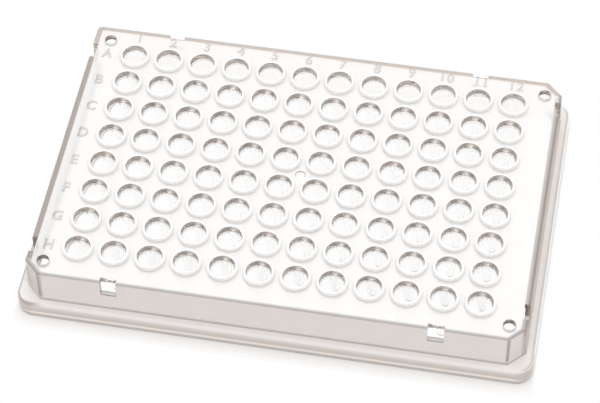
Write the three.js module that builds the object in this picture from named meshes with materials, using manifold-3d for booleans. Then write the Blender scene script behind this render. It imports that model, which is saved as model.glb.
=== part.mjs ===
// A skirted well plate: one clear moulding with a grid of 96 tapered wells hung from a flat deck, and a
// stepped skirt that stands round them. Millimetres, +Z up, the origin at the middle of the base.
// Row A is the back row (+Y) and column 1 is the left one (-X).

import * as THREE from "three";
import { mergeVertices } from "three/addons/utils/BufferGeometryUtils.js";
import Module from "manifold-3d";

const wasm = await Module();
wasm.setup();

// The grid of wells, and the margins round it. Together they set the footprint.
const COLUMNS = 12;
const ROWS = 8;
const PITCH = 9;
const END_MARGIN = 14.38; // from the centres of the end columns to the short edges
const SIDE_MARGIN = 11.24; // from the centres of the outer rows to the long edges
const HALF_LENGTH = ((COLUMNS - 1) * PITCH) / 2 + END_MARGIN;
const HALF_WIDTH = ((ROWS - 1) * PITCH) / 2 + SIDE_MARGIN;

// Heights above the base.
const HEIGHT = 16.1; // to the tops of the rims
const RIM_HEIGHT = 0.8; // the rims above the deck
const DECK_TOP = HEIGHT - RIM_HEIGHT;
const FLANGE_HEIGHT = 5;

// Walls.
const DECK = 1.6;
const WALL = 1.3;
const WELL_WALL = 0.4;

// The flange is the wide foot of the skirt.
const LEDGE_AT_ENDS = 2.2; // its ledge on the short sides
const LEDGE_AT_SIDES = 1.8; // its ledge on the long sides
const FLANGE_CORNER = 4; // corner radius in plan
const FLANGE_EDGE = 0.8; // rounding of its upper edge

// The upright walls lean in towards the deck, and the deck's edge is rounded over.
const LEAN = 0.25; // over the height from the ledge to the deck
const DECK_EDGE = 0.7;
const KEYED_CORNER = 1.5; // radius of the corner beside well A1
const CHAMFER = 4; // the other three corners are cut off
const CORNER_STEPS = 2; // of each round corner in plan, two chords to a step

// A well is a plain cone with a blunt tip, and its mouth has a raised rim for a sealing film.
const WELL_SIDES = 10;
const MOUTH_RADIUS = 3.2;
const TIP_CLEARANCE = 0.9; // from the base up to the tips
const WELL_TAPER = THREE.MathUtils.degToRad(9.15); // of one side from the axis
const TIP_HEIGHT = 0.8; // of the blunt end
const RIM_WIDTH = 0.7; // from the mouth to the rim's foot
const RIM_DRAFT = 0.15; // how far the rim's outer side draws in from its foot to its flat top
const RIM_GAP = 0.2; // the least gap between neighbouring rims, which limits their width

// Small holes through the corners of the deck, set in from the deck's outline.
const CORNER_HOLE_RADIUS = 1.5;
const CORNER_HOLE_SIDES = 12;
const CORNER_HOLE_INSET = 4.6;

// Notches through the top of the skirt, two on each side. A distance to a corner is to the notch's middle.
const NOTCH_FLOOR = DECK_TOP - 5;
const NOTCH_DEPTH = WALL + 0.15; // just through the wall
const LONG_SIDE_NOTCH = { width: 4.05, fromCorner: 21.4 };
const SHORT_SIDE_NOTCH = { width: 4.45, fromCorner: 8.7 };

// The gate mark in the middle of the deck.
const GATE_RADIUS = 1.3;
const GATE_DEPTH = 0.25;
const GATE_SIDES = 12;

const PAST = 1; // how far a cutting tool runs past the face that it cuts
const MERGE = 1e-4; // vertices nearer than this are one vertex

// A closed geometry as a solid that can be joined and cut.
function solidOf(geometry) {
  const bare = geometry.clone();
  bare.deleteAttribute("normal");
  bare.deleteAttribute("uv");
  const merged = mergeVertices(bare, MERGE);
  const corners = merged.index.array;
  const triangles = [];
  for (let i = 0; i < corners.length; i += 3) {
    const [a, b, c] = corners.slice(i, i + 3);
    if (a !== b && b !== c && c !== a) triangles.push(a, b, c);
  }
  return new wasm.Manifold(
    new wasm.Mesh({
      numProp: 3,
      vertProperties: merged.attributes.position.array,
      triVerts: new Uint32Array(triangles),
    }),
  );
}

// A solid as a geometry with flat faces.
function geometryOf(solid) {
  const mesh = solid.getMesh();
  const geometry = new THREE.BufferGeometry();
  geometry.setAttribute("position", new THREE.BufferAttribute(mesh.vertProperties, 3));
  geometry.setIndex(new THREE.BufferAttribute(mesh.triVerts, 1));
  const faceted = geometry.toNonIndexed();
  faceted.computeVertexNormals();
  return faceted;
}

// Skins a stack of outlines, each with as many points as the next, from the lowest up.
function loft(levels) {
  const count = levels[0].outline.length;
  const positions = levels.flatMap(({ z, outline }) => outline.flatMap((p) => [p.x, p.y, z]));
  const faces = [];
  for (let level = 0; level + 1 < levels.length; level++) {
    for (let i = 0; i < count; i++) {
      const a = level * count + i;
      const b = level * count + ((i + 1) % count);
      faces.push(a, b, b + count, a, b + count, a + count);
    }
  }
  const top = (levels.length - 1) * count;
  for (const [a, b, c] of THREE.ShapeUtils.triangulateShape(levels[0].outline, [])) {
    faces.push(a, c, b, top + a, top + b, top + c);
  }
  const geometry = new THREE.BufferGeometry();
  geometry.setAttribute("position", new THREE.Float32BufferAttribute(positions, 3));
  geometry.setIndex(faces);
  return solidOf(geometry);
}

// The flange's outline, drawn in by inset: a rectangle with four round corners.
function flangeOutline(inset) {
  const x = HALF_LENGTH - inset;
  const y = HALF_WIDTH - inset;
  const r = FLANGE_CORNER - inset;
  const shape = new THREE.Shape();
  shape.absarc(x - r, y - r, r, 0, Math.PI / 2);
  shape.absarc(r - x, y - r, r, Math.PI / 2, Math.PI);
  shape.absarc(r - x, r - y, r, Math.PI, 1.5 * Math.PI);
  shape.absarc(x - r, r - y, r, 1.5 * Math.PI, 2 * Math.PI);
  return shape.getPoints(CORNER_STEPS);
}

// The upright walls' outline at the foot, drawn in by inset. The corner beside A1 is round, and the
// other three are cut off at 45 degrees.
function wallOutline(inset) {
  const x = HALF_LENGTH - LEDGE_AT_ENDS - inset;
  const y = HALF_WIDTH - LEDGE_AT_SIDES - inset;
  const cut = CHAMFER - (2 - Math.SQRT2) * inset;
  const r = Math.max(KEYED_CORNER - inset, KEYED_CORNER / 4);
  const shape = new THREE.Shape();
  shape.moveTo(x, y - cut);
  shape.lineTo(x - cut, y);
  shape.absarc(r - x, y - r, r, Math.PI / 2, Math.PI);
  shape.lineTo(-x, cut - y);
  shape.lineTo(cut - x, -y);
  shape.lineTo(x - cut, -y);
  shape.lineTo(x, cut - y);
  return shape.getPoints(CORNER_STEPS);
}

// How far the walls have leaned in at height z.
function leanAt(z) {
  return (LEAN * (z - FLANGE_HEIGHT)) / (DECK_TOP - FLANGE_HEIGHT);
}

// The outside of the plate without its wells. Both upper edges are rounded in two facets.
function outerForm() {
  const eased = 1 - Math.SQRT1_2; // how near the middle of a quarter round comes to its corner
  const flange = loft([
    { z: 0, outline: flangeOutline(0) },
    { z: FLANGE_HEIGHT - FLANGE_EDGE, outline: flangeOutline(0) },
    { z: FLANGE_HEIGHT - eased * FLANGE_EDGE, outline: flangeOutline(eased * FLANGE_EDGE) },
    { z: FLANGE_HEIGHT, outline: flangeOutline(FLANGE_EDGE) },
  ]);
  const shoulder = DECK_TOP - DECK_EDGE;
  const walls = loft([
    { z: FLANGE_HEIGHT - PAST, outline: wallOutline(leanAt(FLANGE_HEIGHT - PAST)) },
    { z: shoulder, outline: wallOutline(leanAt(shoulder)) },
    { z: DECK_TOP - eased * DECK_EDGE, outline: wallOutline(LEAN + eased * DECK_EDGE) },
    { z: DECK_TOP, outline: wallOutline(LEAN + DECK_EDGE) },
  ]);
  return flange.add(walls);
}

// The open space under the deck and inside the skirt, which steps out with the flange.
function underside() {
  const step = FLANGE_HEIGHT - WALL;
  const ceiling = DECK_TOP - DECK;
  const foot = loft([
    { z: -PAST, outline: flangeOutline(WALL) },
    { z: step, outline: flangeOutline(WALL) },
  ]);
  const room = loft([
    { z: step - PAST, outline: wallOutline(WALL + leanAt(step - PAST)) },
    { z: ceiling, outline: wallOutline(WALL + leanAt(ceiling)) },
  ]);
  return foot.add(room);
}

// Height of the well's floor, the lowest point inside it.
const WELL_FLOOR = TIP_CLEARANCE + WELL_WALL;

// Radius of the well's inner cone at height z.
function boreRadius(z) {
  return MOUTH_RADIUS - (HEIGHT - z) * Math.tan(WELL_TAPER);
}

// How far out the corners of a polygon lie, as a share of the radius of the circle with the same area.
function cornerReach(sides) {
  return Math.sqrt((2 * Math.PI) / (sides * Math.sin((2 * Math.PI) / sides)));
}

// A solid of revolution from a half profile that starts and ends on the axis and runs upwards. Its flats
// lie a little inside the true circle and its corners a little outside.
function revolve(profile, sides) {
  const fit = cornerReach(sides);
  const points = profile.map(([r, z]) => new THREE.Vector2(r * fit, z));
  const geometry = new THREE.LatheGeometry(points, sides);
  geometry.rotateX(Math.PI / 2);
  return geometry;
}

// The outside of one well: its cone, and the rim that stands on the deck. Between the two it is hidden
// in the deck's thickness, and it has a ring of corners in each face of the deck, where it meets them.
function wellBody() {
  const skin = WELL_WALL / Math.cos(WELL_TAPER);
  const shoulder = TIP_CLEARANCE + TIP_HEIGHT;
  const ceiling = DECK_TOP - DECK;
  const inDeck = DECK_TOP - DECK / 2;
  const room = (PITCH - RIM_GAP) / 2 / cornerReach(WELL_SIDES);
  const rimFoot = Math.min(MOUTH_RADIUS + RIM_WIDTH, room);
  return revolve(
    [
      [0, TIP_CLEARANCE],
      [boreRadius(shoulder) + skin, shoulder],
      [boreRadius(ceiling) + skin, ceiling],
      [boreRadius(ceiling) + skin, inDeck],
      [rimFoot, inDeck],
      [rimFoot, DECK_TOP],
      [rimFoot - RIM_DRAFT, HEIGHT],
      [0, HEIGHT],
    ],
    WELL_SIDES,
  );
}

// What is cut out of one well, from its floor to above its mouth.
function wellBore() {
  const shoulder = WELL_FLOOR + TIP_HEIGHT;
  return revolve(
    [
      [0, WELL_FLOOR],
      [boreRadius(shoulder), shoulder],
      [boreRadius(HEIGHT + PAST), HEIGHT + PAST],
      [0, HEIGHT + PAST],
    ],
    WELL_SIDES,
  );
}

// One copy of a geometry at each place in the grid, as solids.
function atEachWell(geometry) {
  const copies = [];
  for (let column = 0; column < COLUMNS; column++) {
    for (let row = 0; row < ROWS; row++) {
      const x = (column - (COLUMNS - 1) / 2) * PITCH;
      const y = ((ROWS - 1) / 2 - row) * PITCH;
      copies.push(solidOf(geometry.clone().translate(x, y, 0)));
    }
  }
  return copies;
}

// The four holes near the corners of the deck.
function cornerHoles() {
  const x = HALF_LENGTH - LEDGE_AT_ENDS - CORNER_HOLE_INSET;
  const y = HALF_WIDTH - LEDGE_AT_SIDES - CORNER_HOLE_INSET;
  const hole = revolve(
    [
      [0, DECK_TOP - DECK - PAST],
      [CORNER_HOLE_RADIUS, DECK_TOP - DECK - PAST],
      [CORNER_HOLE_RADIUS, DECK_TOP + PAST],
      [0, DECK_TOP + PAST],
    ],
    CORNER_HOLE_SIDES,
  );
  const corners = [
    [x, y],
    [-x, y],
    [-x, -y],
    [x, -y],
  ];
  return corners.map(([cx, cy]) => solidOf(hole.clone().translate(cx, cy, 0)));
}

// The notches: each is cut down from the deck's edge, and right through the wall below it.
function notches() {
  const wallX = HALF_LENGTH - LEDGE_AT_ENDS - LEAN;
  const wallY = HALF_WIDTH - LEDGE_AT_SIDES - LEAN;
  const tall = DECK_TOP + PAST - NOTCH_FLOOR;
  const middle = NOTCH_FLOOR + tall / 2;
  const deep = NOTCH_DEPTH + PAST;
  const cuts = [];
  for (const side of [-1, 1]) {
    for (const end of [-1, 1]) {
      const along = new THREE.BoxGeometry(LONG_SIDE_NOTCH.width, deep, tall);
      const alongX = end * (wallX - LONG_SIDE_NOTCH.fromCorner);
      cuts.push(along.translate(alongX, side * (wallY - NOTCH_DEPTH + deep / 2), middle));
      const across = new THREE.BoxGeometry(deep, SHORT_SIDE_NOTCH.width, tall);
      const acrossY = side * (wallY - SHORT_SIDE_NOTCH.fromCorner);
      cuts.push(across.translate(end * (wallX - NOTCH_DEPTH + deep / 2), acrossY, middle));
    }
  }
  return cuts.map(solidOf);
}

// The shallow round gate mark.
function gateMark() {
  const mark = revolve(
    [
      [0, DECK_TOP - GATE_DEPTH],
      [GATE_RADIUS, DECK_TOP - GATE_DEPTH],
      [GATE_RADIUS, DECK_TOP + PAST],
      [0, DECK_TOP + PAST],
    ],
    GATE_SIDES,
  );
  return solidOf(mark);
}

function plateGeometry() {
  const bodies = atEachWell(wellBody());
  const cuts = [...atEachWell(wellBore()), ...cornerHoles(), ...notches(), gateMark()];
  const shell = outerForm().subtract(underside());
  const filled = bodies.reduce((plate, body) => plate.add(body), shell);
  return geometryOf(cuts.reduce((plate, cut) => plate.subtract(cut), filled));
}

const clearPlastic = new THREE.MeshStandardMaterial({
  color: 0xf6f4f1,
  roughness: 0.12,
  metalness: 0,
  transparent: true,
  opacity: 0.45,
});

const plate = new THREE.Mesh(plateGeometry(), clearPlastic);
plate.name = "well_plate";

const object = new THREE.Group();
object.add(plate);

export default object;
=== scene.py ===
# %% [markdown]
# # A clear well plate
#
# The real object is one injection moulding: a flat deck that carries 12 by 8 tapered wells, and a hollow
# skirt that the plate stands on. It has one material, a clear plastic, so nearly all of its look comes
# from exact wall shapes and from how light runs inside them. The CAD model gives the true sizes. This
# lesson remakes its surface finely enough for glass, as one closed mesh, and then lights it.

import bpy
import numpy as np
from mathutils import Matrix, Vector


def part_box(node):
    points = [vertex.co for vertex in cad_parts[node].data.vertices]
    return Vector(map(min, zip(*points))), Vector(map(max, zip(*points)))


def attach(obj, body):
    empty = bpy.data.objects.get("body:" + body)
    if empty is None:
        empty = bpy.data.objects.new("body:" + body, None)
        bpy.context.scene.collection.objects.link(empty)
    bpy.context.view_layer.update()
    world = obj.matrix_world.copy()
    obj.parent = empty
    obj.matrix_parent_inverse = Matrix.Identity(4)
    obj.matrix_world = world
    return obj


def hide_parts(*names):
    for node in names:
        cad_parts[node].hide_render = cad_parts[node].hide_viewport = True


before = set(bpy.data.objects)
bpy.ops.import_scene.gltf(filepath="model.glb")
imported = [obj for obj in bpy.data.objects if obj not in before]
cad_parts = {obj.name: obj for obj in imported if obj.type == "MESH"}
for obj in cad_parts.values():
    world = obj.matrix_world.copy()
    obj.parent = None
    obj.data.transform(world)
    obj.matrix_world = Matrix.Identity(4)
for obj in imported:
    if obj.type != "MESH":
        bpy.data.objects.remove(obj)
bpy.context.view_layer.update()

MM = 0.001

# %% [markdown]
# ## The sizes
#
# Everything here is in millimetres until a mesh is written. The overall sizes are read from the CAD node,
# and the others are the ones that the moulding was drawn with. A well plate is a standard part: its
# footprint and the 9 mm grid are fixed, so that any pipette head or reader fits it.

# %% Sizes of the moulding
node_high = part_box("well_plate")[1]
HALF_LENGTH = node_high.x / MM
HALF_WIDTH = node_high.y / MM
HEIGHT = node_high.z / MM
COLUMNS = 12
ROWS = 8
PITCH = 9.0
HALF_CELL = PITCH / 2
RIM_HEIGHT = 0.8
DECK_TOP = HEIGHT - RIM_HEIGHT
DECK = 1.6
CEILING = DECK_TOP - DECK
WALL = 1.3
FLANGE_HEIGHT = 5.0
LEDGE_AT_ENDS = 2.2
LEDGE_AT_SIDES = 1.8
WALL_X = HALF_LENGTH - LEDGE_AT_ENDS
WALL_Y = HALF_WIDTH - LEDGE_AT_SIDES
LEAN = 0.25
print("half sizes:", round(HALF_LENGTH, 2), round(HALF_WIDTH, 2), "height:", round(HEIGHT, 2))

# %% [markdown]
# ## One well
#
# A well is a cone with a blunt tip, hung from the deck, with a raised rim round its mouth. A lathe tool
# would make it alone, but here each well also has to join its neighbours through the flat deck. So its
# surface is a grid over two numbers: the angle round the axis, and the step along a half profile. The
# outermost ring of the grid is the square edge of the well's own 9 mm cell, and every ring inside it is a
# circle. With 32 steps round, the corners of the square fall exactly on a step, and the edges of
# neighbouring cells have the same points, so that they can be welded.

# %% Sizes of a well
AROUND = 32
MOUTH_RADIUS = 3.2
TAPER_ANGLE = 9.15
TAPER = np.tan(np.radians(TAPER_ANGLE))
WELL_THICKNESS = 0.4
WELL_WALL = WELL_THICKNESS / np.cos(np.radians(TAPER_ANGLE))
TIP_HEIGHT = 0.8
TIP_CLEARANCE = 0.9
WELL_FLOOR = TIP_CLEARANCE + WELL_THICKNESS
CONE_DEPTHS = (0.35, 3.0)
LIP = 0.05
RIM_WIDTH = 0.7
RIM_FOOT = MOUTH_RADIUS + RIM_WIDTH
RIM_DRAFT = 0.15
RIM_EASE = 0.1
ROOT_FILLET = 1.3
print("cone's wall, level:", round(WELL_WALL, 3), "rim's foot:", RIM_FOOT)

# %% [markdown]
# ## Lines for the profiles
#
# Three helpers draw every profile in this lesson: the leaning line of the bore, a circular arc, and the
# quarter of an ellipse that closes a tip. The last two give rows of points, in order along the line.

# %% Helpers for profiles


def bore_radius(z):
    """Radius of the well's inner cone: the mouth's radius less the taper times the depth."""
    return MOUTH_RADIUS - (HEIGHT - z) * TAPER


def arc(centre, radius, start, end, steps):
    """Points of a circular arc: the centre plus radius times (cosine, sine) of the angle, in degrees."""
    a = np.radians(np.linspace(start, end, steps))
    return np.stack([centre[0] + radius * np.cos(a), centre[1] + radius * np.sin(a)], axis=1)


def blunt_tip(radius, shoulder, bottom, steps):
    """A quarter of an ellipse from the cone's shoulder down to the axis, without its last point."""
    a = np.linspace(0, np.pi / 2, steps + 1)[:-1]
    return np.stack([radius * np.cos(a), shoulder - (shoulder - bottom) * np.sin(a)], axis=1)


print("bore at the floor:", round(bore_radius(WELL_FLOOR), 3))

# %% [markdown]
# ## The two half profiles
#
# The upper profile is the one that shows. It runs from the deck over the rim and down the bore. The lower
# one runs under the deck and down the outside of the cone. Each corner has a small arc, because the edges
# of a real moulding are never quite sharp, and it is these arcs that catch the light.

# %% The two half profiles of a well


def upper_profile():
    """Radius and height: arcs at the rim's foot, crown and lip, then the bore's line and the tip's ellipse."""
    slant = np.degrees(np.arctan(RIM_DRAFT / RIM_HEIGHT))
    shift = RIM_EASE * np.tan(np.radians(45 - slant / 2))
    foot = arc((RIM_FOOT + shift, DECK_TOP + RIM_EASE), RIM_EASE, 270, 180 + slant, 3)
    crown = arc((RIM_FOOT - RIM_DRAFT - shift, HEIGHT - RIM_EASE), RIM_EASE, slant, 90, 3)
    lip = arc((bore_radius(HEIGHT - LIP) + LIP, HEIGHT - LIP), LIP, 90, 180, 3)
    shoulder = WELL_FLOOR + TIP_HEIGHT
    cone = np.array([[bore_radius(HEIGHT - depth), HEIGHT - depth] for depth in CONE_DEPTHS])
    tip = blunt_tip(bore_radius(shoulder), shoulder, WELL_FLOOR, 4)
    return np.concatenate([foot, crown, lip, cone, tip])


def lower_profile():
    """The same under the deck: a fillet that ends where it leans as the cone does, then the outer tip."""
    end = np.radians(180 - TAPER_ANGLE)
    touch = CEILING - ROOT_FILLET * (1 - np.sin(end))
    root = bore_radius(touch) + WELL_WALL - ROOT_FILLET * np.cos(end)
    fillet = arc((root, CEILING - ROOT_FILLET), ROOT_FILLET, 90, np.degrees(end), 6)
    shoulder = TIP_CLEARANCE + TIP_HEIGHT
    tip = blunt_tip(bore_radius(shoulder) + WELL_WALL, shoulder, TIP_CLEARANCE, 4)
    return np.concatenate([fillet, tip])


print("upper profile", upper_profile().round(2).tolist())
print("lower profile", lower_profile().round(2).tolist())

# %% [markdown]
# ## Rings and sheets
#
# The square ring comes from one rule: at each angle, go out until the larger of the two sides is 4.5 mm.
# The rings inside it are circles. Two rings next to each other make a strip of triangles, and many strips
# make a sheet. The skirt is made as such a sheet too.

# %% Helpers for rings and sheets


def square_ring(z):
    """A point on the cell's square edge at each angle: the unit circle divided by its larger side."""
    a = np.arange(AROUND) * 2 * np.pi / AROUND
    circle = np.stack([np.cos(a), np.sin(a)], axis=1)
    edge = circle / np.abs(circle).max(axis=1, keepdims=True) * HALF_CELL
    return np.column_stack([edge, np.full(AROUND, z)])


def rings(profile):
    """Each profile point turned round the axis: (r cos a, r sin a, z) for every angle a."""
    a = np.arange(AROUND) * 2 * np.pi / AROUND
    r, z = profile[:, :1], profile[:, 1:]
    return np.stack([r * np.cos(a), r * np.sin(a), z + 0 * a], axis=2)


def sheet(grid):
    """Triangles of a grid of rings by steps: two to each cell, and the last step joins the first."""
    count, around = grid.shape[:2]
    i = np.arange(count - 1)[:, None]
    j = np.arange(around)[None, :]
    a, b = i * around + j, i * around + (j + 1) % around
    c, d = a + around, b + around
    return np.concatenate(
        [np.stack([a, b, d], axis=-1).reshape(-1, 3), np.stack([a, d, c], axis=-1).reshape(-1, 3)]
    )


print("points round a ring:", len(square_ring(0)))

# %% [markdown]
# ## One cell, 96 times
#
# The innermost ring is joined to one point on the axis by a fan, so that the tip is closed. One cell is
# worked out once and then copied 96 times by adding the centres of the wells, all as arrays.

# %% Build the cells


def cell_half(profile, deck_z, pole_z, up):
    """One side of a cell: its square edge, the rings inside it, and a fan to the axis."""
    grid = np.concatenate([square_ring(deck_z)[None], rings(profile)])
    points = np.concatenate([grid.reshape(-1, 3), [[0, 0, pole_z]]])
    last = len(points) - 1
    step = np.arange(AROUND)
    inner = last - AROUND + step
    fan = np.stack([inner, last - AROUND + (step + 1) % AROUND, np.full(AROUND, last)], axis=1)
    faces = np.concatenate([sheet(grid), fan])
    return points, faces if up else faces[:, ::-1]


def copies(points, faces, centres):
    """The same mesh at each centre: the points plus the centre, the faces plus a running offset."""
    moved = (points[None] + centres[:, None]).reshape(-1, 3)
    offset = np.arange(len(centres))[:, None, None] * len(points)
    return moved, (faces[None] + offset).reshape(-1, 3)


column_x = (np.arange(COLUMNS) - (COLUMNS - 1) / 2) * PITCH
row_y = ((ROWS - 1) / 2 - np.arange(ROWS)) * PITCH
centres = np.array([[x, y, 0] for x in column_x for y in row_y])
top_cells = copies(*cell_half(upper_profile(), DECK_TOP, WELL_FLOOR, True), centres)
bottom_cells = copies(*cell_half(lower_profile(), CEILING, TIP_CLEARANCE, False), centres)
print("cells:", len(centres), "triangles:", len(top_cells[1]) + len(bottom_cells[1]))

# %% [markdown]
# ## The skirt
#
# The skirt is one profile carried round the plate. Its stations are the points on the edge of the grid of
# cells, plus eight at each corner, and every outline below has the same stations: the upright wall, with
# one small round corner beside well A1 and three corners cut off, and the flange at its foot, with four
# round ones. The rows between two outlines are then simply joined.

# %% Stations and corners
CORNER_STATIONS = 8
KEYED_CORNER = 1.5
CHAMFER = 4.0
CHAMFER_EASE = 0.35
FLANGE_CORNER = 4.0
tangents = HALF_CELL * np.tan(np.radians(np.arange(-45, 45, 360 / AROUND)))
grid_length, grid_width = COLUMNS * PITCH, ROWS * PITCH
long_fractions = np.concatenate([x + tangents for x in column_x])[1:] / grid_length + 0.5
short_fractions = np.concatenate([y + tangents for y in row_y[::-1]])[1:] / grid_width + 0.5


def round_corner(radius):
    """A quarter turn about a point that lies radius inside the corner on both sides."""
    return arc((-radius, -radius), radius, 0, 90, CORNER_STATIONS)


def cut_corner(leg):
    """A corner cut off at 45 degrees, with both new corners eased by a small arc."""
    reach = leg + CHAMFER_EASE * np.tan(np.radians(22.5))
    first = arc((-CHAMFER_EASE, -reach), CHAMFER_EASE, 0, 45, 3)
    last = arc((-reach, -CHAMFER_EASE), CHAMFER_EASE, 45, 90, 3)
    between = first[-1] + (last[0] - first[-1]) * np.array([[1 / 3], [2 / 3]])
    return np.concatenate([first, between, last])


print("stations along a long side:", len(long_fractions), "short side:", len(short_fractions))

# %% [markdown]
# ## Three outlines
#
# An outline takes its four corners and spreads the sides' stations between them in the same proportions as
# on the grid's edge, which is itself an outline whose corners have shrunk to points. The wall's outline gets
# smaller with height, since a moulding has to lean a little to come out of its mould. The flange's is the
# same at every height.

# %% Outlines with matching stations


def outline(half_x, half_y, keyed, other, z):
    """The four corners in order, anticlockwise from the back right, with the sides' points between."""
    mirror = np.array([-1, 1])
    corner_points = [
        other + (half_x, half_y),
        (keyed * mirror + (-half_x, half_y))[::-1],
        -other + (-half_x, -half_y),
        (other * -mirror + (half_x, -half_y))[::-1],
    ]
    points = []
    for k in range(4):
        start, end = corner_points[k][-1], corner_points[(k + 1) % 4][0]
        t = (long_fractions if k % 2 == 0 else short_fractions)[:, None]
        points += [corner_points[k], start + (end - start) * t]
    ring = np.concatenate(points)
    return np.column_stack([ring, np.full(len(ring), z)])


def grid_edge(z):
    """The edge of all the cells together, a rectangle whose four corner points are each repeated."""
    point = np.zeros((CORNER_STATIONS, 2))
    return outline(COLUMNS * HALF_CELL, ROWS * HALF_CELL, point, point, z)


def wall_at(z, inset=0.0):
    """The wall's outline, drawn in by inset and by the lean times the share of the height climbed."""
    shift = LEAN * (z - FLANGE_HEIGHT) / (DECK_TOP - FLANGE_HEIGHT) + inset
    leg = CHAMFER - (2 - np.sqrt(2)) * shift
    keyed = round_corner(max(KEYED_CORNER - shift, KEYED_CORNER / 4))
    return outline(WALL_X - shift, WALL_Y - shift, keyed, cut_corner(leg), z)


def flange_at(z, inset=0.0):
    """The flange's outline, drawn in by inset: a rectangle with four round corners."""
    corner = round_corner(FLANGE_CORNER - inset)
    return outline(HALF_LENGTH - inset, HALF_WIDTH - inset, corner, corner, z)


print("stations round the plate:", len(flange_at(0)))

# %% [markdown]
# ## The skirt's rows
#
# The rows run from the deck outwards and down the outside, under the foot, and up the inside to the
# ceiling. Every edge of a moulding is a little round, and in clear plastic those small radii make the
# bright and dark lines, so each one gets its own few rows.

# %% Build the skirt
DECK_EDGE = 0.7
FLANGE_EDGE = 0.8
SOFT = 0.3
CRISP = 0.2


def quarter(rows, steps):
    """Rows along a quarter round. Each is made from how far it is along the two sides of the corner."""
    a = np.radians(np.linspace(0, 90, steps))
    return [rows(1 - np.sin(t), 1 - np.cos(t)) for t in a]


STEP = FLANGE_HEIGHT - WALL
skirt_rows = [grid_edge(DECK_TOP)]
skirt_rows += quarter(lambda u, v: wall_at(DECK_TOP - DECK_EDGE * v, DECK_EDGE * u), 6)
skirt_rows += quarter(lambda u, v: wall_at(FLANGE_HEIGHT + SOFT * u, -SOFT * v), 4)
skirt_rows += quarter(lambda u, v: flange_at(FLANGE_HEIGHT - FLANGE_EDGE * v, FLANGE_EDGE * u), 6)
skirt_rows += quarter(lambda u, v: flange_at(CRISP * u, CRISP * v), 3)
skirt_rows += quarter(lambda u, v: flange_at(CRISP * v, WALL - CRISP * u), 3)
skirt_rows += quarter(lambda u, v: flange_at(STEP - SOFT * u, WALL + SOFT * v), 4)
skirt_rows += quarter(lambda u, v: wall_at(STEP + CRISP * v, WALL - CRISP * u), 3)
skirt_rows += quarter(lambda u, v: wall_at(CEILING - SOFT * u, WALL + SOFT * v), 4)
skirt_rows += [grid_edge(CEILING)]
skirt = np.stack(skirt_rows)
print("skirt rows:", skirt.shape[0], "stations:", skirt.shape[1])

# %% [markdown]
# ## Welding
#
# The cells and the skirt meet point for point, so a weld only has to find equal positions. Rounding every
# position to a ten-thousandth of a millimetre and asking numpy for the unique rows does it in one call.
# Triangles that lost a corner, such as those that fan out from the four corners of the grid, are dropped.

# %% Weld the surface and check that it is closed


def merged(parts):
    """Several meshes as one: all their points in a row, and each one's triangles plus the points before."""
    sizes = np.cumsum([0] + [len(p) for p, _ in parts])
    faces = np.concatenate([f + n for (_, f), n in zip(parts, sizes)])
    return np.concatenate([p for p, _ in parts]), faces


def weld(parts):
    """One list of unique points and the triangles that join them, without the collapsed ones."""
    points, faces = merged(parts)
    _, first, where = np.unique(points.round(4), axis=0, return_index=True, return_inverse=True)
    faces = where.reshape(-1)[faces]
    whole = (faces != np.roll(faces, 1, axis=1)).all(axis=1)
    return points[first], faces[whole]


def edge_report(faces):
    """How many edges aren't shared by exactly two triangles that run opposite ways along them."""
    edges = np.concatenate([faces[:, [0, 1]], faces[:, [1, 2]], faces[:, [2, 0]]])
    _, counts = np.unique(np.sort(edges, axis=1), axis=0, return_counts=True)
    _, doubled = np.unique(edges, axis=0, return_counts=True)
    return int((counts != 2).sum()), int((doubled != 1).sum())


def volume_of(points, faces):
    """Sum of the signed tetrahedra from the origin to each triangle, which is positive when it faces out."""
    a, b, c = (points[faces[:, k]] for k in range(3))
    return float(np.einsum("ij,ij->i", a, np.cross(b, c)).sum() / 6)


skirt_part = (skirt.reshape(-1, 3), sheet(skirt)[:, ::-1])
points, faces = weld([top_cells, bottom_cells, skirt_part])
print("triangles:", len(faces), "open edges:", edge_report(faces), "volume mm3:", volume_of(points, faces))

# %% [markdown]
# ## The cutting tools
#
# The notches in the skirt, the small holes near the corners and the round gate mark cut through faces that
# the grids know nothing of. Bending the grids round them would be hard to follow, so they are separate
# closed shapes, and one boolean takes them away. A notch tool is a rounded outline pushed along the
# depth, and a hole tool is a half profile turned round the axis. Both are a stack of rings with two caps.

# %% Helpers for the cutting tools
NOTCH_DROP = 5.0
NOTCH_FLOOR = DECK_TOP - NOTCH_DROP
NOTCH_MARGIN = 0.15
NOTCH_DEPTH = WALL + NOTCH_MARGIN
NOTCH_EASE = 0.25
PAST = 1.0


def stack(layers):
    """Closed skin over rings of equal count, with a fan from each end ring to its own middle."""
    count, around = layers.shape[:2]
    points = np.concatenate([layers.reshape(-1, 3), [layers[0].mean(axis=0), layers[-1].mean(axis=0)]])
    step = np.arange(around)
    after = (step + 1) % around
    first, last = count * around, count * around + 1
    top = (count - 1) * around
    caps = [
        np.stack([step, np.full(around, first), after], axis=1),
        np.stack([top + step, top + after, np.full(around, last)], axis=1),
    ]
    faces = np.concatenate([sheet(layers)] + caps)
    return points, faces if volume_of(points, faces) > 0 else faces[:, ::-1]


def turned(profile, x, y):
    """A half profile turned into a closed solid about the upright line through (x, y): r cos a, r sin a."""
    return stack(rings(np.asarray(profile)) + [x, y, 0])


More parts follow.
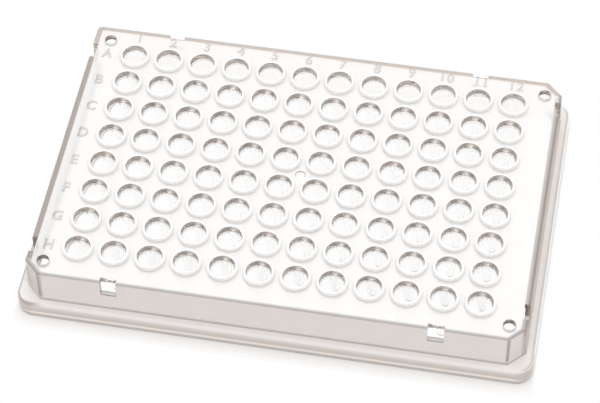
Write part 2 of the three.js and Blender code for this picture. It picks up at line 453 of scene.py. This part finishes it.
def notch_tool(width):
    """A rectangle with two round lower corners, once at depth 0 and once past the wall's face."""
    half, top = width / 2, DECK_TOP + PAST
    low_left = arc((-half + NOTCH_EASE, NOTCH_FLOOR + NOTCH_EASE), NOTCH_EASE, 180, 270, 5)
    low_right = arc((half - NOTCH_EASE, NOTCH_FLOOR + NOTCH_EASE), NOTCH_EASE, 270, 360, 5)
    ring = np.concatenate([low_left, low_right, [[half, top], [-half, top]]])
    near, far = np.full(len(ring), 0.0), np.full(len(ring), NOTCH_DEPTH + PAST)
    return np.stack([np.column_stack([ring[:, 0], d, ring[:, 1]]) for d in (near, far)])


def place(layers, quarter_turns, x, y):
    """Turns a tool by quarter turns (x, y to c x - s y, s x + c y) and moves it to (x, y)."""
    c, s = [(1, 0), (0, 1), (-1, 0), (0, -1)][quarter_turns]
    turn = np.array([[c, s, 0], [-s, c, 0], [0, 0, 1]])
    return stack(layers @ turn + [x, y, 0])


print("notch floor:", round(NOTCH_FLOOR, 2), "depth:", NOTCH_DEPTH)

# %% [markdown]
# ## Placing the tools
#
# There are two notches on each side, and each pair lies the same way from its ends, so a loop over the two
# signs places four tools at once. The holes have a small flare at the top and the gate's dish a round
# bottom edge. Every tool reaches past the surface that it cuts, so that no two faces lie on each other.

# %% Place the cutting tools
LONG_NOTCH, SHORT_NOTCH = 4.05, 4.45
FROM_END, FROM_SIDE = 21.4, 8.7
HOLE_RADIUS, HOLE_INSET, HOLE_EASE = 1.5, 4.6, 0.15
GATE_RADIUS, GATE_DEPTH, GATE_EASE = 1.3, 0.25, 0.15
deck_x, deck_y = WALL_X - LEAN, WALL_Y - LEAN
long_notch, short_notch = notch_tool(LONG_NOTCH), notch_tool(SHORT_NOTCH)
tools = []
for side in (-1, 1):
    tools.append(place(long_notch, 0, side * (deck_x - FROM_END), deck_y - NOTCH_DEPTH))
    tools.append(place(long_notch, 2, side * (deck_x - FROM_END), NOTCH_DEPTH - deck_y))
    tools.append(place(short_notch, 3, deck_x - NOTCH_DEPTH, side * (deck_y - FROM_SIDE)))
    tools.append(place(short_notch, 1, NOTCH_DEPTH - deck_x, side * (deck_y - FROM_SIDE)))
flare = arc((HOLE_RADIUS + HOLE_EASE, DECK_TOP - HOLE_EASE), HOLE_EASE, 180, 90, 3)
hole = [[HOLE_RADIUS, CEILING - PAST], *flare, [HOLE_RADIUS + HOLE_EASE, DECK_TOP + PAST]]
for x in (-1, 1):
    for y in (-1, 1):
        tools.append(turned(hole, x * (WALL_X - HOLE_INSET), y * (WALL_Y - HOLE_INSET)))
dish = arc((GATE_RADIUS - GATE_EASE, DECK_TOP - GATE_DEPTH + GATE_EASE), GATE_EASE, 270, 360, 4)
tools.append(turned([*dish, [GATE_RADIUS, DECK_TOP + PAST]], 0, 0))
print("tools:", len(tools), "volumes:", [round(volume_of(*t), 1) for t in tools])

# %% [markdown]
# ## Row letters and column numbers
#
# They are moulded in very low relief, so that they are seen only where their edges catch the light. Text
# made from the built-in font is right for this: it becomes a mesh first, is then moved to its place by
# moving its vertices, and is joined to the deck. A small bevel makes the strokes bolder. The text curve's
# own offset would do that too, but it leaves doubled edges where strokes meet, and the join would fail.

# %% Helpers for the marks
MARK_HEIGHT = 3.0
MARK_WIDTH = 0.9
MARK_RELIEF = 0.14
MARK_BOLDNESS = 0.02
FONT_CAPITAL = 0.72


def new_object(name, points, faces):
    """A mesh object at the origin from points in millimetres and triangles."""
    mesh = bpy.data.meshes.new(name)
    mesh.from_pydata(points * MM, [], faces)
    mesh.update()
    made = bpy.data.objects.new(name, mesh)
    bpy.context.scene.collection.objects.link(made)
    return made


def mark(text, x, y):
    """One letter or digit, with its middle moved to (x, y) in the deck's face, so that half is sunk."""
    curve = bpy.data.curves.new("mark", "FONT")
    curve.body = text
    curve.size = 1.0
    curve.extrude = 0.5
    curve.resolution_u = 4
    curve.bevel_depth = MARK_BOLDNESS
    curve.bevel_resolution = 0
    shape = bpy.data.objects.new("mark", curve)
    bpy.context.scene.collection.objects.link(shape)
    bpy.context.view_layer.update()
    mesh = bpy.data.meshes.new_from_object(shape.evaluated_get(bpy.context.evaluated_depsgraph_get()))
    mesh.calc_loop_triangles()
    flat = np.empty(len(mesh.vertices) * 3)
    mesh.vertices.foreach_get("co", flat)
    corners = np.empty(len(mesh.loop_triangles) * 3, dtype=np.int32)
    mesh.loop_triangles.foreach_get("vertices", corners)
    bpy.data.objects.remove(shape)
    bpy.data.curves.remove(curve)
    bpy.data.meshes.remove(mesh)
    points, faces = weld([(flat.reshape(-1, 3), corners.reshape(-1, 3))])
    low, high = points.min(axis=0), points.max(axis=0)
    scale = MARK_HEIGHT / FONT_CAPITAL
    spread = points - (low + high) / 2
    spread[:, :2] *= [scale * MARK_WIDTH, scale]
    spread[:, 2] *= 2 * MARK_RELIEF
    spread += [x, y, DECK_TOP]
    return spread, faces if volume_of(spread, faces) > 0 else faces[:, ::-1]


print("size of the letter A:", np.ptp(mark("A", 0, 0)[0], axis=0).round(2).tolist())

# %% [markdown]
# ## Placing the marks
#
# Each row has its letter at the left and each column its number at the back. A number of two digits is two
# marks, one step apart, centred on its column.

# %% Place the marks
DIGIT_STEP = 2.1
LETTER_X = -56.8
NUMBER_Y = 37.8
marks = [mark("ABCDEFGH"[row], LETTER_X, row_y[row]) for row in range(ROWS)]
for column in range(COLUMNS):
    digits = str(column + 1)
    first = column_x[column] - DIGIT_STEP * (len(digits) - 1) / 2
    marks += [mark(digit, first + k * DIGIT_STEP, NUMBER_Y) for k, digit in enumerate(digits)]
print("marks:", len(marks), "open edges:", [edge_report(f) for _, f in marks])

# %% [markdown]
# ## Cutting and joining
#
# Both booleans use the solver for closed meshes, which is exact enough here and takes under a second. The
# result is read back as a mesh, so no modifier is left on the piece.

# %% Cut the tools away and join the marks


def bake(piece):
    """Replaces the object's mesh with what its modifiers make of it."""
    made = bpy.data.meshes.new_from_object(piece.evaluated_get(bpy.context.evaluated_depsgraph_get()))
    piece.modifiers.clear()
    piece.data = made


def boolean(piece, operation, parts):
    """Joins the parts to the piece, or cuts them away, and removes them."""
    other = new_object("tool", *merged(parts))
    step = piece.modifiers.new(operation, "BOOLEAN")
    step.operation = operation
    step.solver = "MANIFOLD"
    step.object = other
    bpy.context.view_layer.update()
    bake(piece)
    bpy.data.objects.remove(other)


plate = new_object("well_plate_clear", points, faces)
boolean(plate, "DIFFERENCE", tools)
boolean(plate, "UNION", marks)
print("faces after cutting:", len(plate.data.polygons), "vertices:", len(plate.data.vertices))

# %% [markdown]
# ## Smooth walls and sharp edges
#
# Glass shows every error in the shading normals, because it bends light by them. Smooth shading alone
# would tilt the normals of a flat face next to a curve. Weighting each vertex's normal by the area of its
# faces leaves the large flat faces flat, and edges sharper than 40 degrees are kept sharp.

# %% Set the normals
SHARP_ANGLE = 40
plate.data.shade_smooth()
plate.data.set_sharp_from_angle(angle=np.radians(SHARP_ANGLE))
weighted = plate.modifiers.new("weighted", "WEIGHTED_NORMAL")
weighted.mode = "FACE_AREA"
weighted.weight = 50
weighted.keep_sharp = True
bpy.context.view_layer.update()
bake(plate)
plate.data.name = "well_plate_clear"
print("custom normals:", plate.data.has_custom_normals)

# %% [markdown]
# ## The plastic
#
# Clear plastic bends light like glass and takes a little of it on the way. The walls are thin, so they
# stay almost white, while light that is caught in the deck and runs along inside it comes out warm brown.
# An absorption volume does exactly that: the colour deepens with the length of the path.
#
# A moulding isn't equally smooth all over, though. The bores are polished, while the rims, the deck and the
# skirt carry the fine texture of the mould. So the skin is divided into zones by position alone. Each zone
# has a frost (the share of light that is scattered instead of let through), a roughness and a colour. Many of
# the colours are painted light and shade, which stand for light that runs inside the plastic.
#
# A material is a tree of small nodes. Making one by hand takes several lines, so a few helpers make them
# here. They all work in whichever tree is being built.

# %% Helpers that make nodes
plastic = bpy.data.materials.new("clear_plastic")
plastic.use_nodes = True
tree = plastic.node_tree
tree.nodes.clear()


def feed(socket, value):
    """Joins the socket to another node's output, or sets a plain number or colour on it."""
    if isinstance(value, bpy.types.NodeSocket):
        tree.links.new(value, socket)
    else:
        socket.default_value = value


def node(kind, *inputs, **settings):
    """A new node with its settings made and its first inputs fed in order."""
    made = tree.nodes.new("ShaderNode" + kind)
    for name, value in settings.items():
        setattr(made, name, value)
    for socket, value in zip(made.inputs, inputs):
        feed(socket, value)
    return made


def number(operation, *inputs):
    """One step of arithmetic on numbers, such as ADD or MAXIMUM."""
    return node("Math", *inputs, operation=operation).outputs[0]


def vector(operation, *inputs):
    """One step of arithmetic on positions, on each of their three numbers."""
    return node("VectorMath", *inputs, operation=operation).outputs[0]


def length(value):
    """The length of a position: the root of the sum of its three squares."""
    return node("VectorMath", value, operation="LENGTH").outputs["Value"]


print("material:", plastic.name)

# %% [markdown]
# ## Masks
#
# A mask is a number between 0 and 1 that says how far a point belongs to a zone. Nearly all of them come
# from one step, a straight rise between two values. Masks are then joined: the product of two is where both
# hold, and the larger of two is where either holds.

# %% Helpers that make masks


def larger(first, second):
    """The larger of two numbers. Of two masks, it is 1 where either one is."""
    return number("MAXIMUM", first, second)


def rise(value, start, end):
    """A mask that is 0 up to the start, 1 from the end on, and a straight line between."""
    return node("MapRange", value, start, end, 0.0, 1.0, clamp=True).outputs[0]


def fall(value, start, end):
    """A mask that is 1 up to the start and 0 from the end on: one less the rise."""
    return number("SUBTRACT", 1.0, rise(value, start, end))


def both(first, *rest):
    """The product of several masks, which is 1 only where all of them are."""
    for other in rest:
        first = number("MULTIPLY", first, other)
    return first


def opposite(mask):
    """One less the mask."""
    return number("SUBTRACT", 1.0, mask)


print("nodes before the first mask:", len(tree.nodes))

# %% [markdown]
# ## Where a point lies
#
# Every zone is found from the point's place in the plate's own frame, in millimetres. The plate is nearly
# the same on both sides of its middle lines, so x, y and z are taken without their sign, and the signed
# numbers are kept for what is on one side only. The wells are all alike, so the plate is also folded onto
# one well: the place divided by the pitch and rounded down gives the cell, and what is left over is the
# place beside that well's own axis.

# %% Measure the point
point = vector("MULTIPLY", node("TexCoord").outputs["Object"], (1 / MM,) * 3)
signed = node("SeparateXYZ", point).outputs
rightward, backward = signed["X"], signed["Y"]
outward = vector("ABSOLUTE", point)
x, y, z = node("SeparateXYZ", outward).outputs
plan = vector("MULTIPLY", outward, (1, 1, 0))

cell = vector("FLOOR", vector("DIVIDE", point, (PITCH,) * 3))
cell = vector("MAXIMUM", cell, (-COLUMNS / 2, -ROWS / 2, 0))
cell = vector("MINIMUM", cell, (COLUMNS / 2 - 1, ROWS / 2 - 1, 0))
axis = vector("MULTIPLY_ADD", cell, (PITCH, PITCH, 0), (HALF_CELL, HALF_CELL, 0))
aside = vector("MULTIPLY", vector("SUBTRACT", point, axis), (1, 1, 0))
aside_x, aside_y, _ = node("SeparateXYZ", aside).outputs
radius = length(aside)
toward_back = number("DIVIDE", aside_y, radius)
past_bore = number("ADD", number("MULTIPLY_ADD", z, -TAPER, HEIGHT * TAPER - MOUTH_RADIUS), radius)
print("nodes that measure the point:", len(tree.nodes))

# %% [markdown]
# ## Distances from the edges
#
# Three more measures follow the outlines. The wall has three corners cut off. The fourth one, beside well
# A1, is nearly square, so its diagonal is left out of the cut. The flange's round corners are circles
# about four points, and the holes are mirror images of one another, so one distance finds all four.

# %% Measure from the outlines
root_two = np.sqrt(2)
both_ways = number("ABSOLUTE", number("ADD", rightward, backward))
cut_way = larger(both_ways, number("SUBTRACT", rightward, backward))


def near_wall(inset):
    """How far a point lies past a line drawn inset from the wall's face: the largest of three sides."""
    long, short = number("SUBTRACT", x, WALL_X - inset), number("SUBTRACT", y, WALL_Y - inset)
    slope = number("SUBTRACT", cut_way, WALL_X + WALL_Y - CHAMFER - inset * root_two)
    return larger(larger(long, short), number("DIVIDE", slope, root_two))


def near_flange(inset):
    """How far a point lies past a line drawn inset from the flange's face, from the corner's middle."""
    middle = (HALF_LENGTH - FLANGE_CORNER, HALF_WIDTH - FLANGE_CORNER, 0)
    reach = length(vector("MAXIMUM", vector("SUBTRACT", plan, middle), (0, 0, 0)))
    return number("SUBTRACT", reach, FLANGE_CORNER - inset)


def beside(hole_x, hole_y):
    """Distance from the upright line through (hole_x, hole_y) and its three mirror images."""
    return length(vector("SUBTRACT", plan, (hole_x, hole_y, 0)))


front = fall(backward, 4.2 - WALL_Y, 4.7 - WALL_Y)
right = rise(rightward, WALL_X - 1.2, WALL_X - 1.0)
print("nodes with the outlines:", len(tree.nodes))

# %% [markdown]
# ## Laying zones on the skin
#
# The skin starts as the polished surface of the bores. Each zone is then laid over what is there, as a coat
# of paint would be: its mask says where, and its three values replace the earlier ones. A colour can also
# be a ladder, which changes with height. The ladders paint light and shade, as a thick edge is painted
# darker where light would have run further in it.
# The pairs of numbers in a mask say where its edge starts and ends.

# %% Helpers that lay a zone
MATT = 0.3
WHITE = (1.0, 1.0, 1.0)
skin = {"frost": 0.0, "rough": 0.05, "colour": (*WHITE, 1)}
laid = []


def ladder(*stops):
    """A colour by height, with straight mixes between its (height, colour) stops."""
    low, high = stops[0][0], stops[-1][0]
    ramp = node("ValToRGB", rise(z, low, high))
    steps = ramp.color_ramp.elements
    for height, _ in stops[1:-1]:
        steps.new((height - low) / (high - low))
    for step, (_, colour) in zip(steps, stops):
        step.color = (*colour, 1)
    return ramp.outputs[0]


def blend(mask, before, after, kind, first, out):
    """The value before where the mask is 0, the one after where it is 1, and a straight mix between."""
    made = node("Mix", mask, data_type=kind)
    feed(made.inputs[first], before)
    feed(made.inputs[first + 1], after)
    return made.outputs[out]


def lay(name, mask, frost, colour, rough=MATT):
    """Lays one zone over the skin so far."""
    if isinstance(colour, tuple):
        colour = (*colour, 1)
    skin["frost"] = blend(mask, skin["frost"], frost, "FLOAT", 2, 0)
    skin["rough"] = blend(mask, skin["rough"], rough, "FLOAT", 2, 0)
    skin["colour"] = blend(mask, skin["colour"], colour, "RGBA", 6, 2)
    laid.append(name)


print("the bare skin:", skin)

# %% [markdown]
# ## The wells
#
# The lower bores and the whole underside stay clear, as any frost there would grey the wells. Only a band
# just under each mouth is tinted, with painted shade. It stands for the light that is caught where the cone
# leaves the thick deck, and it paints the dark crescent at the back of each well. A clear wedge is left
# open in its middle, where the crescent has a bright notch. The row at the back has no notch.

# %% Zones of the wells
DEEP_LOW, DEEP_HIGH = 12.5, 13.5
BAND_LOW, BAND_HIGH = 13.7, 15.1
WEDGE_SHIFT, WEDGE_SLOPE, WEDGE_TOP = 0.25, 0.65, 15.35
on_bore = fall(past_bore, 0.15, 0.25)
lay("deep", both(on_bore, fall(z, DEEP_LOW, DEEP_HIGH)), 0.0, WHITE, rough=0.1)
below_deck = both(rise(past_bore, 0.3, 0.35), fall(z, CEILING - 0.1, CEILING + 0.1))
lay("under", below_deck, 0.0, WHITE, rough=0.05)

off_wedge = number("ABSOLUTE", number("SUBTRACT", aside_x, WEDGE_SHIFT))
wedge_edge = number("MULTIPLY_ADD", z, WEDGE_SLOPE, off_wedge)
wedge = both(
    fall(wedge_edge, WEDGE_SLOPE * WEDGE_TOP - 0.3, WEDGE_SLOPE * WEDGE_TOP + 0.1),
    rise(toward_back, 0.3, 0.5),
    fall(backward, 3 * PITCH - 0.1, 3 * PITCH),
)
# Painted shade: the dark crescent at the back of each bore, just under the mouth.
painted_crescent = both(on_bore, rise(z, BAND_LOW, BAND_HIGH), fall(z, HEIGHT - 0.35, HEIGHT + 0.1), opposite(wedge))
crescent_painted_shade = ladder(
    (13.7, (0.67, 0.605, 0.565)),
    (14.6, (0.64, 0.58, 0.54)),
    (15.1, (0.74, 0.67, 0.63)),
    (16.1, (0.75, 0.68, 0.64)),
)
lay("painted_crescent", painted_crescent, 0.3, crescent_painted_shade)
print("zones laid:", len(laid), "the last one:", laid[-1])

# %% [markdown]
# ## The deck and its edge
#
# The deck is matt enough to hide what is under it. Its rounded edge is painted with shade for the light
# that has run through the whole deck, so it is the darkest line on the plate: brown at the back and the
# left, darker at the right, and darkest along the front brim. The marks are polished letters on that matt
# ground, painted grey as painted shade for the light on their edges.

# %% Zones of the deck
top = both(rise(z, DECK_TOP - 0.3, DECK_TOP - 0.1), rise(past_bore, 0.02, 0.05))
lay("deck", top, 0.4, (0.93, 0.92, 0.91))
# Painted shade: a brown line along the deck's rounded edge at the back and the left.
edge = both(
    rise(z, DECK_TOP - 0.7, DECK_TOP - 0.5),
    rise(near_wall(WALL + 0.55), 0.0, 0.15),
    opposite(front),
    larger(
        fall(rightward, WALL_X - 2.0, WALL_X - 1.9),
        rise(y, WALL_Y - CHAMFER - 0.9, WALL_Y - CHAMFER - 0.3),
    ),
)
lay("edge", edge, 0.6, (0.52, 0.46, 0.43))
# Painted shade: the deck's edge on the right is painted darker still.
right_edge_painted_shade = both(
    rise(z, DECK_TOP - 0.75, DECK_TOP - 0.7),
    rise(rightward, WALL_X - 1.3, WALL_X - 0.75),
    opposite(front),
)
lay("right_edge_painted_shade", right_edge_painted_shade, 0.7, (0.40, 0.35, 0.315))
# Painted shade: the darkest line on the plate, along the front edge of the deck.
brim_painted_shade = both(front, rise(near_wall(LEAN + 1.25), 0.3, 1.15), rise(z, DECK_TOP - 0.8, DECK_TOP - 0.45))
lay("brim_painted_shade", brim_painted_shade, 0.85, (0.29, 0.255, 0.235))
# The marks' tops are painted grey, as painted shade for the light on their edges.
raised = both(top, rise(z, DECK_TOP + 0.02, DECK_TOP + 0.05), rise(radius, RIM_FOOT + 0.2, RIM_FOOT + 0.3))
lay("marks", raised, 0.5, (0.62, 0.59, 0.57), rough=0.1)
print("zones laid:", len(laid), "the last one:", laid[-1])

# %% [markdown]
# ## The rims, the holes and the gate
#
# The rims are frosted, so they shine white all round, with a faint grey line of painted shade at their root
# on the side toward the front. The walls of the corner holes cut through the deck, and they are painted
# brown, as painted shade for the light that runs in the deck, and so is the small dish where the plastic
# was let into the mould.

# %% Zones of the rims and the holes
lay("side", both(top, fall(radius, RIM_FOOT, RIM_FOOT + 0.3)), 0.9, (0.96, 0.95, 0.94))
# Painted shade: a grey line at the foot of each rim, on the side toward the front.
root = both(
    top,
    fall(toward_back, -0.9, 0.6),
    fall(z, DECK_TOP, DECK_TOP + 0.2),
    rise(radius, RIM_FOOT - 0.3, RIM_FOOT - 0.2),
    fall(radius, RIM_FOOT + 0.15, RIM_FOOT + 0.55),
)
lay("root", root, 0.7, (0.78, 0.755, 0.74))
crown_radius = RIM_FOOT - RIM_DRAFT
lay("rim", both(top, fall(radius, crown_radius - 0.08, crown_radius - 0.02)), 0.9, (0.95, 0.94, 0.93))
lay("lip", both(on_bore, rise(z, HEIGHT - 0.25, HEIGHT - 0.02)), 0.9, (0.94, 0.93, 0.92))

below_top = fall(z, DECK_TOP - 0.1, DECK_TOP - 0.02)
from_hole = beside(WALL_X - HOLE_INSET, WALL_Y - HOLE_INSET)
# Painted shade: the walls of the corner holes are painted brown.
lay("hole", both(fall(from_hole, HOLE_RADIUS + 0.2, HOLE_RADIUS + 0.3), below_top), 0.3, (0.40, 0.345, 0.31))
from_gate = beside(0, 0)
# Painted shade: the wall of the gate's dish is painted brown in the same way.
dish_painted_shade = both(
    rise(from_gate, GATE_RADIUS - 0.2, GATE_RADIUS - 0.1),
    fall(from_gate, GATE_RADIUS, GATE_RADIUS + 0.1),
    below_top,
    rise(z, CEILING + 0.1, CEILING + 0.2),
)
lay("gate", dish_painted_shade, 0.6, (0.42, 0.39, 0.37))
print("zones laid:", len(laid), "the last one:", laid[-1])

# %% [markdown]
# ## The upright walls
#
# Only the front and the right wall are tinted, with painted shade. The back one stays clear, because the
# back row of wells is seen through it. The front wall is painted a warm grey, with painted light along its
# foot, and a fine darker line of painted shade where it meets the flange and at the ends where it turns
# into the cut-off corners. The right wall's painted shade darkens towards the top.

# %% Zones of the walls
skirt_face = both(rise(near_wall(0.9), 0.0, 0.3), fall(z, DECK_TOP - DECK_EDGE, DECK_TOP - 0.1))
above_flange = rise(z, FLANGE_HEIGHT - 0.05, FLANGE_HEIGHT + 0.1)
front_face = both(skirt_face, front)
# Painted shade: the front wall is painted a warm grey.
lay("wall", both(front_face, above_flange), 0.5, (0.66, 0.60, 0.57))
# Painted shade: a dark line where the front wall turns into the cut-off corners.
bend_line = fall(number("ABSOLUTE", number("SUBTRACT", x, WALL_X - CHAMFER)), 0.15, 0.35)
corner = both(front_face, rise(z, FLANGE_HEIGHT, FLANGE_HEIGHT + 0.1), bend_line)
lay("corner", corner, 0.7, (0.36, 0.32, 0.29))
# Painted light: a lighter band along the foot of the front wall.
hem_painted_light = both(
    front_face,
    rise(z, FLANGE_HEIGHT - 0.05, FLANGE_HEIGHT),
    fall(z, FLANGE_HEIGHT + 1.0, FLANGE_HEIGHT + 1.8),
)
lay("hem_painted_light", hem_painted_light, 0.7, (0.76, 0.70, 0.665))
# Painted shade: a dark line in the crease where the front wall meets the flange.
crease_painted_shade = both(
    front_face,
    rise(z, FLANGE_HEIGHT + 0.1, FLANGE_HEIGHT + 0.2),
    fall(z, FLANGE_HEIGHT + 0.4, FLANGE_HEIGHT + 0.5),
)
lay("crease_painted_shade", crease_painted_shade, 0.6, (0.62, 0.56, 0.53))
# Painted shade on the right wall, darker towards the top.
flank_painted_shade = ladder((5.0, (0.60, 0.53, 0.48)), (11.0, (0.56, 0.49, 0.445)), (15.3, (0.38, 0.33, 0.295)))
lay("flank", both(skirt_face, above_flange, right), 0.7, flank_painted_shade)
print("zones laid:", len(laid), "the last one:", laid[-1])

# %% [markdown]
# ## The flange
#
# The flange is a thick edge that stands out all round. It is striped along its height with painted light
# and shade: painted shade at the foot, a painted highlight above it, a soft brown middle of painted shade,
# and a top that grows lighter until it meets the white ledge. The ends have their own lips of painted
# shade, and the corners a brown bend of painted shade.

# %% Zones of the flange
foot = both(
    fall(z, FLANGE_HEIGHT - 0.05, FLANGE_HEIGHT + 0.1),
    rise(near_wall(WALL + 0.5), 0.0, 0.2),
    larger(fall(backward, WALL_Y - 4.5, WALL_Y - 4.0), right),
)
# Painted light and shade by height: a dark foot, a painted highlight line, a brown middle and a lighter top.
flange_highlight_and_shade = ladder(
    (0.0, (0.42, 0.39, 0.37)),
    (0.3, (0.50, 0.46, 0.43)),
    (0.6, (0.58, 0.53, 0.50)),
    (0.9, (0.58, 0.52, 0.485)),
    (1.3, (0.87, 0.80, 0.75)),
    (1.6, (1.0, 0.93, 0.87)),
    (2.1, (0.71, 0.64, 0.59)),
    (2.5, (0.61, 0.545, 0.505)),
    (3.3, (0.68, 0.62, 0.575)),
    (4.0, (0.76, 0.705, 0.67)),
    (4.3, (0.83, 0.78, 0.75)),
    (4.6, (0.92, 0.89, 0.87)),
    (5.0, (1.0, 0.96, 0.94)),
)
lay("foot", foot, 0.85, flange_highlight_and_shade)
lay("ledge", both(foot, rise(z, 4.93, 4.98)), 0.95, (1.0, 0.97, 0.955))
right_lip = both(
    foot,
    rise(z, 4.1, 4.2),
    rise(near_flange(1.1), 0.0, 0.35),
    rise(rightward, HALF_LENGTH - 3.5, HALF_LENGTH - 1.5),
)
# Painted shade: the rounded lip at the right end is painted dark near its top.
right_lip_painted_shade = ladder((4.2, WHITE), (4.6, WHITE), (4.88, (0.62, 0.59, 0.57)), (5.0, (0.66, 0.63, 0.61)))
lay("right_lip", right_lip, 0.9, right_lip_painted_shade)
# Painted shade: the flange's front corners are painted brown.
flange_corner_painted_shade = both(
    foot,
    front,
    rise(z, 0.9, 1.2),
    fall(z, 4.4, 4.8),
    rise(near_flange(0.6), 0.0, 0.1),
    rise(x, HALF_LENGTH - 4.5, HALF_LENGTH - 1.5),
)
lay("flange_corner_painted_shade", flange_corner_painted_shade, 0.85, (0.56, 0.50, 0.46))
# Painted shade: a dark outline on the rounding at the left end of the flange.
left_lip_painted_shade = both(
    foot,
    rise(z, 3.9, 4.2),
    rise(near_flange(0.75), 0.0, 0.35),
    fall(rightward, 4.0 - HALF_LENGTH, 7.0 - HALF_LENGTH),
)
lay("left_lip_painted_shade", left_lip_painted_shade, 0.8, (0.52, 0.475, 0.445))
print("zones laid:", len(laid), "the last one:", laid[-1])

# %% [markdown]
# ## The notches' floors, and the whole shader
#
# The last zone is the bright floor of each notch. The zones' three values then go into one shader: frost is
# what the plastic doesn't let through, so the shader gets one less the frost. The index of refraction and
# the absorption are plain numbers on their own sockets, so that an export keeps them.

# %% Finish the plastic and dress the plate
IOR = 1.45
ABSORPTION = 60.0
TINT = (0.88, 0.80, 0.73)
sill = both(
    fall(near_wall(0.45), 0.0, 0.1),
    rise(near_wall(WALL + 0.05), 0.0, 0.1),
    rise(z, NOTCH_FLOOR - 0.2, NOTCH_FLOOR - 0.1),
    fall(z, NOTCH_FLOOR + 0.1, NOTCH_FLOOR + 0.3),
)
lay("sill", sill, 0.95, (0.95, 0.93, 0.92))

shader = node("BsdfPrincipled")
feed(shader.inputs["Base Color"], skin["colour"])
feed(shader.inputs["Roughness"], skin["rough"])
feed(shader.inputs["Transmission Weight"], opposite(skin["frost"]))
feed(shader.inputs["IOR"], IOR)
absorb = node("VolumeAbsorption", (*TINT, 1), ABSORPTION)
node("OutputMaterial", shader.outputs[0], absorb.outputs[0])

plate.data.materials.clear()
plate.data.materials.append(plastic)
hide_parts("well_plate")
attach(plate, "root")
print("zones:", len(laid), "nodes:", len(tree.nodes))

# %% [markdown]
# ## Camera
#
# The plate is seen from above and a little to the right of its front, through a long lens, so that its
# sides stay nearly parallel. The camera is placed, turned to face its aim, and then rolled a little about
# its own axis.

# %% Camera
CAMERA_PLACE = Vector((71.256, -354.587, 470.316)) * MM
CAMERA_AIM = Vector((0.296, -2.714, 8.0)) * MM
CAMERA_ROLL = -1.391
camera_data = bpy.data.cameras.new("camera")
camera_data.sensor_width = 36
camera_data.lens = 139.67
camera_data.clip_end = 10
camera = bpy.data.objects.new("camera", camera_data)
bpy.context.scene.collection.objects.link(camera)
bpy.context.scene.camera = camera
level = (CAMERA_AIM - CAMERA_PLACE).to_track_quat("-Z", "Y").to_matrix()
roll = Matrix.Rotation(np.radians(CAMERA_ROLL), 3, "Z")
camera.matrix_world = Matrix.Translation(CAMERA_PLACE) @ (level @ roll).to_4x4()
print("camera at", [round(v, 4) for v in CAMERA_PLACE])

# %% [markdown]
# ## Floor
#
# The plate stands on white paper with a clean white background. A plain white floor would be grey wherever
# the lamps are weak, so the paper gives its own white light everywhere but in a narrow strip round the
# plate. In the strip it is a matt white surface, which keeps the shadow. Rays that come through the
# plastic, or are mirrored in it, always see the clean white, so the wells stay bright.

# %% Floor
FLOOR_HALF = 3000
FLOOR_GLOW = 0.16
FLOOR_COLOUR = (0.80, 0.785, 0.775)
SHADOW_START, SHADOW_END = 1, 4
END_STRETCH = 6
UNDER_PLATE = -4
corners = np.array([[-1, -1, 0], [1, -1, 0], [1, 1, 0], [-1, 1, 0]]) * FLOOR_HALF
floor = new_object("floor", corners, np.array([[0, 1, 2], [0, 2, 3]]))

paper = bpy.data.materials.new("white_floor")
paper.use_nodes = True
tree = paper.node_tree
tree.nodes.clear()
rays = node("LightPath").outputs
ground = vector("ABSOLUTE", vector("MULTIPLY", node("TexCoord").outputs["Object"], (1 / MM,) * 3))
beyond = vector("SUBTRACT", ground, (HALF_LENGTH, HALF_WIDTH, 0))
past_end, past_side, _ = node("SeparateXYZ", vector("MULTIPLY", beyond, (END_STRETCH, 1, 0))).outputs
away = larger(past_end, past_side)
outside = rise(away, SHADOW_START, SHADOW_END)
inside = number("LESS_THAN", away, UNDER_PLATE)
through = larger(rays["Is Glossy Ray"], rays["Is Transmission Ray"])
clean = larger(larger(through, inside), outside)

matt_paper = node("BsdfDiffuse", (*FLOOR_COLOUR, 1))
glow = node("Emission", (1, 1, 1, 1), number("MULTIPLY", rays["Is Camera Ray"], FLOOR_GLOW))
lit_paper = node("AddShader", matt_paper.outputs[0], glow.outputs[0])
white_paper = node("Emission", (1, 1, 1, 1), 1.0)
pick = node("MixShader", clean, lit_paper.outputs[0], white_paper.outputs[0])
node("OutputMaterial", pick.outputs[0])
floor.data.materials.append(paper)
print("floor nodes:", len(tree.nodes))

# %% [markdown]
# ## World and lamps
#
# Clear plastic shows what is around it, so a plain white world does most of the lighting. Three large,
# weak lamps stand behind and at the sides. They give the rims and the edges their soft highlights and
# leave a faint shadow along the front.

# %% World
world = bpy.data.worlds.new("studio")
bpy.context.scene.world = world
world.use_nodes = True
sky = world.node_tree.nodes["Background"]
sky.inputs["Color"].default_value = (1, 1, 1, 1)
sky.inputs["Strength"].default_value = 1.0
print("world strength:", sky.inputs["Strength"].default_value)

# %% Lamps
LAMP_SIZE = 0.6
LAMP_POWER = 1.0


def soft_lamp(name, spot):
    """A square area lamp at a spot in metres, which faces the middle of the plate's base."""
    data = bpy.data.lights.new(name, "AREA")
    data.size = LAMP_SIZE
    data.energy = LAMP_POWER
    lamp = bpy.data.objects.new(name, data)
    bpy.context.scene.collection.objects.link(lamp)
    spot = Vector(spot)
    facing = (-spot).to_track_quat("-Z", "Y").to_matrix().to_4x4()
    lamp.matrix_world = Matrix.Translation(spot) @ facing
    return lamp


lamps = [
    soft_lamp("key", (-0.1, 0.7, 0.9)),
    soft_lamp("left", (-0.9, 0.0, 0.5)),
    soft_lamp("right", (0.9, 0.0, 0.5)),
]
print("lamps:", [lamp.name for lamp in lamps])

# %% [markdown]
# ## View
#
# A ray that enters one well often crosses a dozen walls before it leaves the plate. With the usual number
# of bounces it would stop inside and leave a black spot, so many more are allowed.

# %% View
BOUNCES = 32
scene = bpy.context.scene
scene.view_settings.view_transform = "Standard"
scene.cycles.max_bounces = BOUNCES
scene.cycles.glossy_bounces = BOUNCES
scene.cycles.transmission_bounces = BOUNCES
print("bounces:", scene.cycles.max_bounces)
